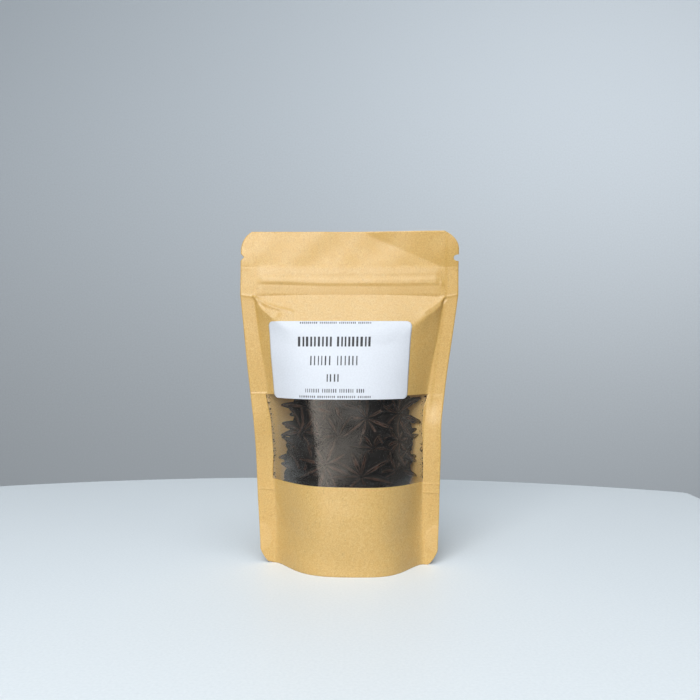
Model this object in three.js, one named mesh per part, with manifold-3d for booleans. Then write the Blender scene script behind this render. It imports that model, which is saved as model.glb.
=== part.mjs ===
// A shut stand-up pouch of star anise: kraft paper with a clear window, a blank sticker and the dried
// pods behind it.
//
// The pouch is two kraft panels and a folded bottom gusset, heat-sealed down both sides and along the
// foot. Filled and stood up, its gusset opens, its panels bow out and its sides draw in, so it is a flat
// sheet at the zip and a rounded box at the foot. Paper doesn't stretch: the depth at each level is
// worked out from the flat width of a panel and the distance that is left between the side seals.
//
// Frame: millimetres, +Z up, origin on the floor under the middle of the pouch. The front, with the
// window, faces -Y.

import * as THREE from "three";
import { mergeVertices } from "three/addons/utils/BufferGeometryUtils.js";
import Module from "manifold-3d";

const wasm = await Module();
wasm.setup();

// --------------------------------------------------------------------------------------------------------
// Driving dimensions
// --------------------------------------------------------------------------------------------------------

const pouch = {
  width: 110, // over the side seals, flat
  height: 167, // floor to top edge, standing
  seal: 7, // each side seal
  plies: 0.9, // the two panels together, where they are sealed
  wall: 1, // one standing panel
  pucker: 0.5, // paper taken up by small puckers in each half of a panel
  footPucker: 1.3, // and more of it in the foot
};

// What the fill presses a section into: square-shouldered low down, an even curve at the top.
const fill = {
  square: 3.25, // exponent of the section's curve, up to squareTop
  squareTop: 35,
  round: 2, // and from roundFrom
  roundFrom: 120,
  footEasing: 1.3, // how gently the foot's section runs into the seals, gone by footTop
  footTop: 30,
};

const foot = {
  halfWidth: 44.9, // of the drawn-in pouch at the floor, seals included
  skirt: 3, // seal along the foot, which stands on the floor
  sag: 4.4, // the gusset's fold above the floor, in the middle
  fold: 35, // and at the side seals
  foldPower: 4, // how late the fold climbs towards the seals
  cornerWide: 4, // cut-off corner of a side seal
  cornerTall: 6.5,
};

const side = {
  upperDraw: 0.1226, // half-width drawn in for each mm below the zip
  lowerDraw: 0.033, // and for each mm down the filled lower half
  blend: 0.8,
};

const zip = {
  low: 134.8, // flange of the press-to-close strip, under the paper
  high: 148.4,
  flangeRise: 0.3,
  ridgeLow: 139.2, // its interlocking profile
  ridgeHigh: 144.2,
  ridgeRise: 0.9,
  crisp: 0.6, // height over which an edge shows through the paper
  gentle: 2, // and the ridge's upper edge
};

const roof = { slope: 0.78, blend: 1.4 }; // the panel leaning out under the zip
const twist = { back: 2.4, full: 50, gone: 130 }; // left seal back and right seal forward, below the zip
const sway = { shift: -1.2, at: 80, spread: 35 }; // the filled part stands a little to the left

const header = {
  cornerRadius: 11.1, // rounded top corners, punched a little too high to meet the top edge smoothly
  cornerAbove: 1.6,
  notchHeight: 153.9, // tear notches
  notchTall: 3.2,
  leftNotch: 1.6,
  rightNotch: 2.5,
};

const pane = { halfWidth: 46.2, low: 42.1, high: 84.8, film: 0.5, gap: 0.35 }; // halfWidth on the flat panel
const sticker = { width: 71, low: 83.6, high: 121.2, middle: -5.5, corner: 2.6, thick: 0.5, gap: 0.35 };

const pod = {
  carpels: 8,
  reach: 13, // hub to tip
  height: 5.2, // of a boat-shaped carpel, keel to lips
  width: 4.4,
  hub: 2.3,
};

const heap = {
  bottom: 2,
  top: 96,
  halfWidth: 34, // of the core, on the flat panel
  behind: 6.2, // the core's depth behind the paper
  lump: 1.2,
  gap: 0.6, // between the pods and the paper or film
  rows: [47, 62, 77],
  perRow: 4,
  spacing: 19,
  scatter: 5,
  tilt: 0.6, // radians, from one side to the other
  seed: 11,
};

// --------------------------------------------------------------------------------------------------------
// The pouch's form: a point of a panel is given by its place across the flat paper and its height
// --------------------------------------------------------------------------------------------------------

const half = pouch.width / 2;
const panelHalf = half - pouch.seal;

const softMax = (a, b, r) => (a + b + Math.hypot(a - b, r)) / 2;
const softMin = (a, b, r) => (a + b - Math.hypot(a - b, r)) / 2;
const smooth = (low, high, v) => THREE.MathUtils.smoothstep(v, low, high);

// Half the width at a height, seals included.
function halfWidth(z) {
  const shoulder = half - side.upperDraw * (zip.low - z);
  const waist = foot.halfWidth + side.lowerDraw * z;
  return Math.min(half, softMax(shoulder, waist, side.blend));
}

// How far out the panel stands at a share s of the way from the middle to the seal: 1 in the middle, 0 at
// the seal.
function bow(s, z) {
  const squareness = THREE.MathUtils.lerp(fill.square, fill.round, smooth(fill.squareTop, fill.roundFrom, z));
  const easing = THREE.MathUtils.lerp(fill.footEasing, 1, smooth(0, fill.footTop, z));
  return Math.pow(Math.max(0, 1 - Math.pow(Math.abs(s), squareness)), easing);
}

function depthAt(s, z, middleDepth) {
  const lid = Math.max(0, roof.slope * (zip.low - z));
  return Math.max(0, softMin(middleDepth * bow(s, z), lid, Math.min(roof.blend, 0.3 * lid)));
}

const STEPS = 48;

// Running length along half a section, from its middle to the seal.
function runningLengths(z, middleDepth) {
  const stride = (halfWidth(z) - pouch.seal) / STEPS;
  const lengths = [0];
  for (let i = 1; i <= STEPS; i++) {
    const out = depthAt(i / STEPS, z, middleDepth) - depthAt((i - 1) / STEPS, z, middleDepth);
    lengths.push(lengths[i - 1] + Math.hypot(stride, out));
  }
  return lengths;
}

// The depth at which the paper's own width just spans a section, found by halving, and the running
// lengths there.
const sections = new Map();
function section(z) {
  if (!sections.has(z)) {
    const puckers = pouch.pucker * (1 - smooth(fill.roundFrom, zip.low, z));
    const footPuckers = pouch.footPucker * (1 - smooth(0, fill.squareTop, z));
    const paper = panelHalf - puckers - footPuckers;
    let low = 0;
    let high = pouch.width / 4;
    for (let i = 0; i < 30; i++) {
      const middle = (low + high) / 2;
      if (runningLengths(z, middle)[STEPS] > paper) high = middle;
      else low = middle;
    }
    const depth = z < zip.low ? low : 0;
    sections.set(z, { depth, lengths: runningLengths(z, depth) });
  }
  return sections.get(z);
}

// Share of the way to the seal for a point u mm from the middle of the flat panel.
function share(u, z) {
  const { lengths } = section(z);
  const wanted = (Math.min(Math.abs(u), panelHalf) / panelHalf) * lengths[STEPS];
  const i = Math.max(1, lengths.findIndex((v) => v >= wanted - 1e-9));
  const part = (wanted - lengths[i - 1]) / (lengths[i] - lengths[i - 1]);
  return (Math.sign(u) * (i - 1 + part)) / STEPS;
}

// What the zip under the paper adds to each face. The side seals have crushed it flat.
function zipRise(u, z) {
  const { low, high, ridgeLow, ridgeHigh, crisp, gentle } = zip;
  const flange = smooth(low, low + crisp, z) * (1 - smooth(high - crisp, high, z));
  const ridge = smooth(ridgeLow, ridgeLow + crisp, z) * (1 - smooth(ridgeHigh - gentle, ridgeHigh, z));
  const crushed = smooth(panelHalf - 1, panelHalf, Math.abs(u));
  return (zip.flangeRise * flange + zip.ridgeRise * ridge) * (1 - crushed);
}

// The surface half-way between the panels, which the side seals lie in: twisted and swayed, but not bowed.
function onMiddle(x, z) {
  const turned = -twist.back * (x / halfWidth(z)) * (1 - smooth(twist.full, twist.gone, z));
  const swayed = sway.shift * Math.exp(-(((z - sway.at) / sway.spread) ** 2));
  return new THREE.Vector3(x + swayed, turned, z);
}

// Distance from the middle of a section for a point u mm from the middle of the flat panel.
function across(u, z) {
  const intoSeal = Math.max(0, Math.abs(u) - panelHalf) * Math.sign(u);
  return share(u, z) * (halfWidth(z) - pouch.seal) + intoSeal;
}

// A point on the outside of the front (face -1) or the back (face +1).
function onPanel(u, z, face) {
  const p = onMiddle(across(u, z), z);
  p.y += face * (pouch.plies / 2 + depthAt(share(u, z), z, section(z).depth) + zipRise(u, z));
  return p;
}

// The panel's outward normal.
function normal(u, z, face) {
  const d = 0.4;
  const sideways = onPanel(u + d, z, face).sub(onPanel(u - d, z, face));
  const up = onPanel(u, z + d, face).sub(onPanel(u, z - d, face));
  return sideways.cross(up).multiplyScalar(-face).normalize();
}

// A point at the same level as onPanel's but `depth` mm under the paper's outside, measured square to the
// paper. It stops just short of the middle of the pouch.
function under(u, z, face, depth) {
  const short = 0.15;
  const p = onPanel(u, z, face);
  const n = normal(u, z, face);
  const uprightness = n.x ** 2 + n.y ** 2; // 1 where the paper stands upright
  p.x -= (n.x * depth) / uprightness;
  p.y -= (n.y * depth) / uprightness;
  const middle = onMiddle(across(u, z), z).y;
  p.y = middle + face * Math.max(short, face * (p.y - middle));
  return p;
}

// --------------------------------------------------------------------------------------------------------
// Helpers for solids
// --------------------------------------------------------------------------------------------------------

function toManifold(geometry) {
  const bare = geometry.clone();
  bare.deleteAttribute("normal");
  bare.deleteAttribute("uv");
  const merged = mergeVertices(bare, 1e-4);
  return new wasm.Manifold(
    new wasm.Mesh({
      numProp: 3,
      vertProperties: new Float32Array(merged.attributes.position.array),
      triVerts: new Uint32Array(merged.index.array),
    }),
  );
}

function toGeometry(manifold) {
  const mesh = manifold.getMesh();
  const positions = new Float32Array(mesh.numVert * 3);
  for (let i = 0; i < mesh.numVert; i++) {
    positions.set(mesh.vertProperties.subarray(i * mesh.numProp, i * mesh.numProp + 3), i * 3);
  }
  const geometry = new THREE.BufferGeometry();
  geometry.setAttribute("position", new THREE.BufferAttribute(positions, 3));
  geometry.setIndex(new THREE.BufferAttribute(new Uint32Array(mesh.triVerts), 1));
  geometry.computeVertexNormals();
  return geometry;
}

// The largest body of a solid, without the loose scraps that a cut can leave.
function largest(manifold) {
  return manifold.decompose().reduce((a, b) => (b.volume() > a.volume() ? b : a));
}

// A closed two-faced sheet: a box whose grid of columns and rows is carried to place(column, row, face).
function sheet(columns, rows, place) {
  const box = new THREE.BoxGeometry(1, 1, 1, columns.length - 1, 1, rows.length - 1);
  const p = box.attributes.position;
  const v = new THREE.Vector3();
  for (let i = 0; i < p.count; i++) {
    v.fromBufferAttribute(p, i);
    const column = columns[Math.round((v.x + 0.5) * (columns.length - 1))];
    const row = rows[Math.round((v.z + 0.5) * (rows.length - 1))];
    p.setXYZ(i, ...place(column, row, Math.sign(v.y)));
  }
  return toManifold(box);
}

// Evenly spaced values from a to b, both included.
function spread(a, b, count) {
  return Array.from({ length: count }, (_, i) => a + ((b - a) * i) / (count - 1));
}

// --------------------------------------------------------------------------------------------------------
// Kraft pouch
// --------------------------------------------------------------------------------------------------------

const belowZip = [
  ...spread(0, 40, 6),
  ...spread(pane.low, pane.high, 5),
  ...spread(93, 117, 4),
  ...spread(122, 131, 4),
];

// The panels as one solid, before it is hollowed.
function filledOutline() {
  const zipLevels = [
    zip.low,
    zip.low + zip.crisp,
    zip.ridgeLow,
    zip.ridgeLow + zip.crisp,
    zip.ridgeHigh - zip.gentle,
    zip.ridgeHigh,
    zip.high - zip.crisp,
    zip.high,
  ];
  const columns = [-half, -panelHalf, ...spread(1 - panelHalf, panelHalf - 1, 21), panelHalf, half];
  return sheet(columns, [...belowZip, ...zipLevels, pouch.height], onPanel);
}

// Everything between the two panels from `low` to `high`, `inset` mm under their outsides.
function between(inset, low, high) {
  const levels = [low, ...belowZip.filter((z) => z > low && z < high), high];
  return sheet(spread(1 - panelHalf, panelHalf - 1, 17), levels, (u, z, face) => under(u, z, face, inset));
}

// A block up to the gusset, its top raised by `lift`. The gusset's fold runs across the middle of the
// pouch, near the floor in the middle and up the side seals. On both sides it falls away to the seal
// along the foot.
function underGusset(lift) {
  const bottom = -20;
  const chord = halfWidth(0) - pouch.seal;
  const shares = spread(-1, 1, 19).map((t) => 1.04 * Math.sin((t * Math.PI) / 2)); // closest near the seals
  const outFromFold = [-2.5, -1, -0.5, 0, 0.5, 1, 2.5];
  return sheet(shares, outFromFold, (s, r, top) => {
    const reach = Math.max(section(foot.skirt).depth * bow(s, foot.skirt), 1.2);
    const fold = foot.sag + (foot.fold - foot.sag) * Math.pow(Math.min(1, Math.abs(s)), foot.foldPower);
    const level = foot.skirt + (fold - foot.skirt) * Math.max(0, 1 - Math.abs(r));
    const p = onMiddle(s * chord, 0);
    return p.set(p.x, p.y - r * reach, top < 0 ? bottom : level + lift);
  });
}

// A cutter with the given outline, drawn as seen from the front, right through the pouch. A hand of -1
// mirrors it to the left.
function cutter(hand, draw) {
  const depth = 80;
  const shape = new THREE.Shape();
  draw(shape);
  const prism = new THREE.ExtrudeGeometry(shape, { depth, bevelEnabled: false, curveSegments: 6 });
  prism.translate(0, 0, -depth / 2).rotateX(Math.PI / 2);
  if (hand < 0) prism.rotateZ(Math.PI);
  return toManifold(prism);
}

const CLEAR = 5; // how far a cutter reaches past the paper

function topCorner(shape) {
  const r = header.cornerRadius;
  const level = pouch.height + header.cornerAbove - r;
  shape.moveTo(half, level);
  shape.absarc(half - r, level, r, 0, Math.PI / 2, false);
  shape.lineTo(half - r, pouch.height + CLEAR);
  shape.lineTo(half + CLEAR, pouch.height + CLEAR);
  shape.lineTo(half + CLEAR, level);
}

function tearNotch(deep) {
  return (shape) => {
    const { notchHeight, notchTall } = header;
    shape.moveTo(half + CLEAR, notchHeight - notchTall / 2);
    shape.lineTo(half + CLEAR, notchHeight + notchTall / 2);
    shape.lineTo(half, notchHeight + notchTall / 2);
    shape.quadraticCurveTo(half - 2 * deep, notchHeight, half, notchHeight - notchTall / 2);
  };
}

function footCorner(shape) {
  const { halfWidth: out, cornerWide, cornerTall } = foot;
  shape.moveTo(out - cornerWide, -CLEAR);
  shape.lineTo(out + CLEAR, -CLEAR);
  shape.lineTo(out + CLEAR, cornerTall);
  shape.lineTo(out + side.lowerDraw * cornerTall, cornerTall);
  shape.quadraticCurveTo(out - 0.5, 1.5, out - cornerWide, 0);
}

function windowOpening() {
  const clear = 1.2;
  const columns = spread(-pane.halfWidth, pane.halfWidth, 17);
  return sheet(columns, spread(pane.low, pane.high, 5), (u, z, face) =>
    under(u, z, -1, face < 0 ? -clear : pouch.wall + clear),
  );
}

function kraftPouch() {
  const inside = between(pouch.wall, -2, 131);
  let paper = filledOutline()
    .subtract(inside.subtract(underGusset(pouch.wall)))
    .subtract(inside.intersect(underGusset(0)))
    .subtract(windowOpening());
  for (const hand of [-1, 1]) {
    const notch = hand < 0 ? header.leftNotch : header.rightNotch;
    for (const draw of [topCorner, tearNotch(notch), footCorner]) {
      paper = paper.subtract(cutter(hand, draw));
    }
  }
  return largest(paper);
}

// --------------------------------------------------------------------------------------------------------
// Window film and sticker
// --------------------------------------------------------------------------------------------------------

function windowFilm() {
  const columns = spread(pane.gap - pane.halfWidth, pane.halfWidth - pane.gap, 17);
  return sheet(columns, spread(pane.low + pane.gap, pane.high - pane.gap, 5), (u, z, face) =>
    under(u, z, -1, face < 0 ? pane.gap : pane.gap + pane.film),
  );
}

// The sticker's rows draw in near its top and bottom, which rounds its corners.
function stickerPaper() {
  const roundedBy = [0, 0.12, 0.45, 1].map((k) => k * sticker.corner);
  const rows = [
    ...roundedBy.map((d) => sticker.low + d),
    ...spread(sticker.low + 9, sticker.high - 9, 3),
    ...roundedBy.map((d) => sticker.high - d).reverse(),
  ];
  return sheet(spread(-1, 1, 13), rows, (k, z, face) => {
    const missing = Math.max(0, sticker.corner - Math.min(z - sticker.low, sticker.high - z));
    const drawnIn = sticker.corner - Math.sqrt(sticker.corner ** 2 - missing ** 2);
    const u = sticker.middle + k * (sticker.width / 2 - drawnIn);
    return under(u, z, -1, face < 0 ? -(sticker.gap + sticker.thick) : -sticker.gap);
  });
}

// --------------------------------------------------------------------------------------------------------
// Star anise
// --------------------------------------------------------------------------------------------------------

// Repeatable random numbers from 0 to 1.
function generator(seed) {
  let state = seed;
  return () => {
    state = (state * 1664525 + 1013904223) % 4294967296;
    return state / 4294967296;
  };
}

// The skin of one carpel in five steps: from the top of the hub out along the open seam, or over a lip,
// to the beak, and back along the keel to the hub's underside. Each step is a share of the reach, the
// half width and the height.
const alongSeam = [
  [0, 0, 0.75],
  [0.5, 0, 0.62],
  [1, 0, 0.95],
  [0.5, 0, 0],
  [0, 0, 0.2],
];
const alongLip = [
  [0, 0, 0.75],
  [0.45, 0.9, 1],
  [0.78, 0.4, 0.8],
  [0.45, 0.85, 0.35],
  [0, 0, 0.2],
];

// A whole pod: a globe's grid drawn out to eight boat-shaped carpels that open towards +Z. Each meridian
// belongs to a seam, a lip or the valley between two carpels. Real pods are uneven, so their reach
// varies.
function starPod(random) {
  const perCarpel = 4;
  const meridians = pod.carpels * perCarpel;
  const globe = new THREE.SphereGeometry(1, meridians, alongSeam.length - 1);
  const reaches = Array.from({ length: pod.carpels }, () => pod.reach * (0.78 + 0.24 * random()));
  const p = globe.attributes.position;
  for (let i = 0; i < p.count; i++) {
    const row = Math.floor(i / (meridians + 1));
    const meridian = i % (meridians + 1) % meridians;
    const carpel = Math.round(meridian / perCarpel) % pod.carpels;
    const turn = (2 * Math.PI * Math.round(meridian / perCarpel)) / pod.carpels;
    const phase = meridian - Math.round(meridian / perCarpel) * perCarpel;
    const [out, across, up] = (phase === 0 ? alongSeam : alongLip)[row];
    const inValley = Math.abs(phase) === 2;
    const reach = inValley ? Math.min(1, 3 * out) * pod.hub : out * reaches[carpel];
    const aside = inValley ? 0 : Math.sign(phase) * across * (pod.width / 2);
    const lift = (inValley && out > 0 ? 0.2 + 0.5 * up : up) * pod.height;
    const angle = inValley ? turn + (phase * 2 * Math.PI) / meridians : turn;
    p.setXYZ(
      i,
      reach * Math.cos(angle) - aside * Math.sin(angle),
      reach * Math.sin(angle) + aside * Math.cos(angle),
      lift,
    );
  }
  return toManifold(globe);
}

// The heap: a lumpy core with the pods that show through the window fused on, cut back to clear the paper
// and film.
function starAniseHeap() {
  const random = generator(heap.seed);
  const aboutZero = () => random() - 0.5;
  const lump = (u, z) => heap.lump * Math.sin(0.41 * u + 0.9 * z) * Math.cos(0.33 * z - 0.2 * u);
  const columns = spread(-heap.halfWidth, heap.halfWidth, 11);
  let pods = sheet(columns, spread(heap.bottom, heap.top, 9), (u, z, face) =>
    under(u, z, face, heap.behind + lump(u, z)),
  );
  heap.rows.forEach((rowHeight, row) => {
    for (let i = 0; i < heap.perRow; i++) {
      const stagger = (row % 2 ? 0.25 : -0.25) * heap.spacing;
      const u = (i - (heap.perRow - 1) / 2) * heap.spacing + stagger + heap.scatter * aboutZero();
      const z = rowHeight + heap.scatter * aboutZero();
      const out = normal(u, z, -1);
      const keelUnder = pouch.wall + heap.gap + 1.05 * pod.height;
      const at = onPanel(u, z, -1).addScaledVector(out, -keelUnder);
      const [pitch, roll, turn] = [heap.tilt * aboutZero(), heap.tilt * aboutZero(), Math.PI * random()];
      const facing = new THREE.Quaternion()
        .setFromUnitVectors(new THREE.Vector3(0, 0, 1), out)
        .multiply(new THREE.Quaternion().setFromEuler(new THREE.Euler(pitch, roll, turn)));
      const placed = new THREE.Matrix4().compose(at, facing, new THREE.Vector3(1, 1, 1));
      pods = pods.add(starPod(random).transform(placed.elements));
    }
  });
  const clear = pouch.wall + heap.gap;
  const room = between(clear, heap.bottom, heap.top + pod.reach).subtract(underGusset(clear));
  return largest(pods.intersect(room));
}

// --------------------------------------------------------------------------------------------------------
// The object
// --------------------------------------------------------------------------------------------------------

const kraft = new THREE.MeshStandardMaterial({ color: "#dcb679", roughness: 0.75, metalness: 0 });
const film = new THREE.MeshStandardMaterial({
  color: "#d8d4cc",
  roughness: 0.25,
  metalness: 0,
  transparent: true,
  opacity: 0.3,
});
const whitePaper = new THREE.MeshStandardMaterial({ color: "#eef0f4", roughness: 0.55, metalness: 0 });
const driedPod = new THREE.MeshStandardMaterial({ color: "#4a2c1c", roughness: 0.7, metalness: 0 });

const object = new THREE.Group();

function addPiece(name, solid, material) {
  const mesh = new THREE.Mesh(toGeometry(solid), material);
  mesh.name = name;
  object.add(mesh);
}

addPiece("kraft_pouch", kraftPouch(), kraft);
addPiece("window_film", windowFilm(), film);
addPiece("sticker", stickerPaper(), whitePaper);
addPiece("star_anise", starAniseHeap(), driedPod);

export default object;
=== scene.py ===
import bpy
import numpy as np
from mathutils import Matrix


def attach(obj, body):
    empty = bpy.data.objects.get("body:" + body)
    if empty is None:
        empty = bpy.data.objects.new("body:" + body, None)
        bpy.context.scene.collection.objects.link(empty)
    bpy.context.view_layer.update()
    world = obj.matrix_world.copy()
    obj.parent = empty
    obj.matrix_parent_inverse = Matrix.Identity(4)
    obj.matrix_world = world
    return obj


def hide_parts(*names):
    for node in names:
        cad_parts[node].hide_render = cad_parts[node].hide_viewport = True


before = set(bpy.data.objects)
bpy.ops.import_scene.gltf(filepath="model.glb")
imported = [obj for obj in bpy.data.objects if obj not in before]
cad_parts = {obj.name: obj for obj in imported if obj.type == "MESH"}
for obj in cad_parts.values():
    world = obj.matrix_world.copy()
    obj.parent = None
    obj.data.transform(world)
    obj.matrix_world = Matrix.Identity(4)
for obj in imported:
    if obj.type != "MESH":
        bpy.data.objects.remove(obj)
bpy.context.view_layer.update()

# ---- The pouch: laminated kraft paper ----
# Two flat panels of brown kraft paper with a plastic lining, heat-sealed to each other down both
# sides, with a press-to-close zip across the top, and a third piece folded in between them as the
# foot. Filled, the panels bow out and the sides draw in.

# The paper never stretches: a point keeps its place (u, z), u across the flat paper and z up, in
# millimetres, and each level is as deep as the paper's width allows.
MM = 0.001
HALF = 55.0  # half of the flat width
HEIGHT = 167.0  # floor to top edge
SEAL = 7.0  # width of each side seal
PANEL = HALF - SEAL  # half of a panel between its seals
PLY = 0.35  # middle of the pouch to the outside of a flat panel, and less where it is sealed
PAPER = 0.2  # thickness of the laminate
ZIP_LOW = 134.8  # lower edge of the zip's flange, where the panels start to part
SHOULDER_SLOPE = 0.1226  # how much narrower each side gets for a millimetre down from the zip
ROOF_SLOPE = 0.64  # how much deeper the flat slope under the zip gets, likewise
DEEPEST = 40.0  # no level's middle is deeper than this
FRONT, BACK = -1.0, 1.0  # the way along y in which a panel bows


def smooth(low, high, value):
    """0 below low, 1 above high, and 3t^2 - 2t^3 of the share t between."""
    t = np.clip((value - low) / (high - low), 0, 1)
    return t * t * (3 - 2 * t)


def fade(low, high, value):
    """The reverse: 1 below low and 0 above high."""
    return 1 - smooth(low, high, value)


def soft_min(a, b, radius):
    """The lower of two values, with their crossing rounded by a hyperbola."""
    return (a + b - np.hypot(a - b, radius)) / 2


def bell(offset, width):
    """exp(-(offset / width)^2): 1 in the middle, and almost nothing past twice the width."""
    return np.exp(-((offset / width) ** 2))


def half_width(z):
    """Half the width at a height: one straight draw-in below the zip, a gentler one in the foot."""
    shoulder = HALF - SHOULDER_SLOPE * (ZIP_LOW - z)
    waist = 44.5 + 0.039 * z
    return np.minimum(HALF, -soft_min(-shoulder, -waist, 0.3))


def depth_share(s, z):
    """Depth as a share of the middle's, at a share s of the way to the seal. In the fill it is
    (1 - |s|^p)^e, square-shouldered low down; at the top it is a flat with two straight slopes.
    The panels stay pressed together for a margin beside the seal."""
    margin = 1.4 * smooth(2, 24, z) * fade(88, 126, z)
    s = np.clip(np.abs(s) / (1 - margin / (half_width(z) - SEAL)), 0, 1)
    p = 3.1 + 0.7 * fade(2, 18, z) - 0.4 * smooth(88, 110, z)
    e = 1.85 - 0.5 * smooth(3, 42, z) - 0.35 * smooth(90, 115, z)
    filled = (1 - s**p) ** e
    facets = soft_min((1 - s) / 0.5, 1, 0.25 * np.minimum(1, 8 * (1 - s)))
    top = smooth(98, 124, z)
    return np.maximum(filled * (1 - top) + facets * top, 0)


def depth_at(s, z, middle):
    """The bowed depth, cut off by the flat slope that the panel makes under the zip."""
    lid = np.maximum(ROOF_SLOPE * (ZIP_LOW - 1.3 * np.abs(s) ** 3 - z), 0)
    radius = np.minimum(1.2 + 4.3 * fade(0.4, 0.85, np.abs(s)), 0.34 * lid)
    return np.maximum(soft_min(middle * depth_share(s, z), lid, radius), 0)


LEVELS = np.linspace(-2, ZIP_LOW, 275)
SHARES = np.linspace(0, 1, 161)


def fit_sections():
    """For every level, the middle depth at which the section's running length is the paper's own,
    found by halving, and the share s that each step of that running length falls on."""
    z = LEVELS[:, None]
    across = SHARES * (half_width(z) - SEAL)
    puckers = 0.65 * smooth(36, 66, LEVELS) * fade(68, 92, LEVELS)
    puckers += 1.3 * fade(0, 30, LEVELS)
    crease_gives = 0.7 * smooth(108, 122, LEVELS)
    paper = PANEL - puckers + crease_gives
    low, high = np.zeros_like(LEVELS), np.full_like(LEVELS, DEEPEST)
    for _halving in range(30):
        middle = (low + high) / 2
        steps = np.hypot(np.diff(across), np.diff(depth_at(SHARES, z, middle[:, None])))
        too_long = steps.sum(axis=1) > paper
        high, low = np.where(too_long, middle, high), np.where(too_long, low, middle)
    running = np.concatenate([np.zeros_like(z), np.cumsum(steps, axis=1)], axis=1)
    running /= running[:, -1:]
    return middle, np.stack([np.interp(SHARES, row, SHARES) for row in running])


MIDDLE_DEPTHS, SHARE_TABLE = fit_sections()


def share(u, z):
    """Share of the way to the seal: the section table read at (|u|, z) with straight blending."""
    row = np.clip((z - LEVELS[0]) / (LEVELS[1] - LEVELS[0]), 0, len(LEVELS) - 1.001)
    column = np.clip(np.abs(u) / PANEL, 0, 0.99999) * (len(SHARES) - 1)
    i, j = row.astype(int), column.astype(int)
    a, b = row - i, column - j
    near = SHARE_TABLE[i, j] * (1 - b) + SHARE_TABLE[i, j + 1] * b
    far = SHARE_TABLE[i + 1, j] * (1 - b) + SHARE_TABLE[i + 1, j + 1] * b
    return np.sign(u) * (near * (1 - a) + far * a)


def sideways(z):
    """How far right the outline's middle lies: a little to the left, most at the fill's top."""
    return -1.2 * bell(z - 82, 38) - 0.5 * fade(30, 62, z)


def middle_surface(x, z):
    """The surface between the panels. Below the zip the left seal turns back and the right one
    forward, each seal bends where the fill presses, and both come forward at the foot."""
    twist = -2.3 * (x / half_width(z)) * fade(55, 105, z) - 0.8 * fade(0, 40, z)
    right, left = smooth(0.78, 0.95, x / half_width(z)), smooth(0.78, 0.95, -x / half_width(z))
    bend = -1.8 * right * fade(68, 83, z) * smooth(20, 50, z)
    bulge = -0.9 * left * bell(z - 71, 9)
    ends = smooth(0.6, 0.95, np.abs(x) / half_width(z)) * fade(0, 22, z)
    foot = np.where(x < 0, -1.2, -0.8) * ends
    return x + sideways(z) + 0.25 * bend, twist + bend + bulge + foot


def xyz(x, y, z):
    """Points from their coordinates, each spread to the shape of all three."""
    return np.stack(np.broadcast_arrays(x, y, z), axis=-1)


def bare_panel(u, z, face):
    """A point (x, y, z) of a panel before its creases: the middle surface plus the bow."""
    s = share(u, z)
    into_seal = np.sign(u) * np.maximum(np.abs(u) - PANEL, 0)
    x, y = middle_surface(s * (half_width(z) - SEAL) + into_seal, z)
    bowed = depth_at(s, z, np.interp(z, LEVELS, MIDDLE_DEPTHS))
    ply = PLY - 0.13 * smooth(PANEL, PANEL + 1.5, np.abs(u)) * smooth(34, 38, z)
    return xyz(x, y + face * (ply + bowed), z)


def lines(stops, counts):
    """Grid lines that pass through every stop, with the given number of steps between them."""
    spans = [np.linspace(a, b, n, endpoint=False) for a, b, n in zip(stops, stops[1:], counts)]
    return np.concatenate([*spans, stops[-1:]])


WINDOW_LEFT, WINDOW_RIGHT, WINDOW_LOW, WINDOW_HIGH = -47.0, 46.5, 41.8, 84.8
COLUMN_STOPS = [-HALF, -50, WINDOW_LEFT, -40, 40, WINDOW_RIGHT, 50, HALF]
COLUMNS = lines(COLUMN_STOPS, [8, 7, 14, 96, 13, 8, 8])
LOW_STOPS = [0, 5, 21, 35.2, 37.4, 39.8, WINDOW_LOW, WINDOW_HIGH]
HIGH_STOPS = [86.4, 120, 133, 150, 151.8, 156, 158, HEIGHT]
ROWS = lines(LOW_STOPS + HIGH_STOPS, [8, 30, 13, 8, 2, 7, 40, 6, 33, 26, 62, 3, 20, 3, 16])


def window_slant(u):
    """How far the window's lower edge and the bars of the seals sink towards the right."""
    return 0.0095 * (u + 46)


def sheared(u, z):
    """Grid lines bent to the cut edges: the lower edge of the window bows and slants, its sides
    draw in under the upper corners, and the left foot corner is lifted off the floor."""
    left = 0.9 * fade(70, WINDOW_HIGH, z) * (0.2 + 0.8 * smooth(WINDOW_LOW, 56, z))
    right = 1.6 * fade(77, WINDOW_HIGH, z) * (0.15 + 0.85 * smooth(WINDOW_LOW, 72, z))
    low = 0.7 * np.cos(u / 30) - window_slant(u)
    lift = 0.6 * smooth(48, 54, -u) * fade(0, 6, z)
    drawn_in = left * bell(u - WINDOW_LEFT, 3) - right * bell(u - WINDOW_RIGHT, 3)
    return u + drawn_in, z + low * bell(z - WINDOW_LOW, 14) + lift


CORNER, CORNER_START = 11.1, 157.5  # radius of the top corners, and the height they start at
RIGHT_CORNER = 15.5  # the right one reaches further across
FOOT_CUT_TALL, FOOT_CUT_WIDE, FOOT_CUT_POWER = 7.2, 4.6, 1.3
LEFT_NOTCH, RIGHT_NOTCH, SLOT = 153.9, 153.5, 1.5  # heights, and the slot's half-height


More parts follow.
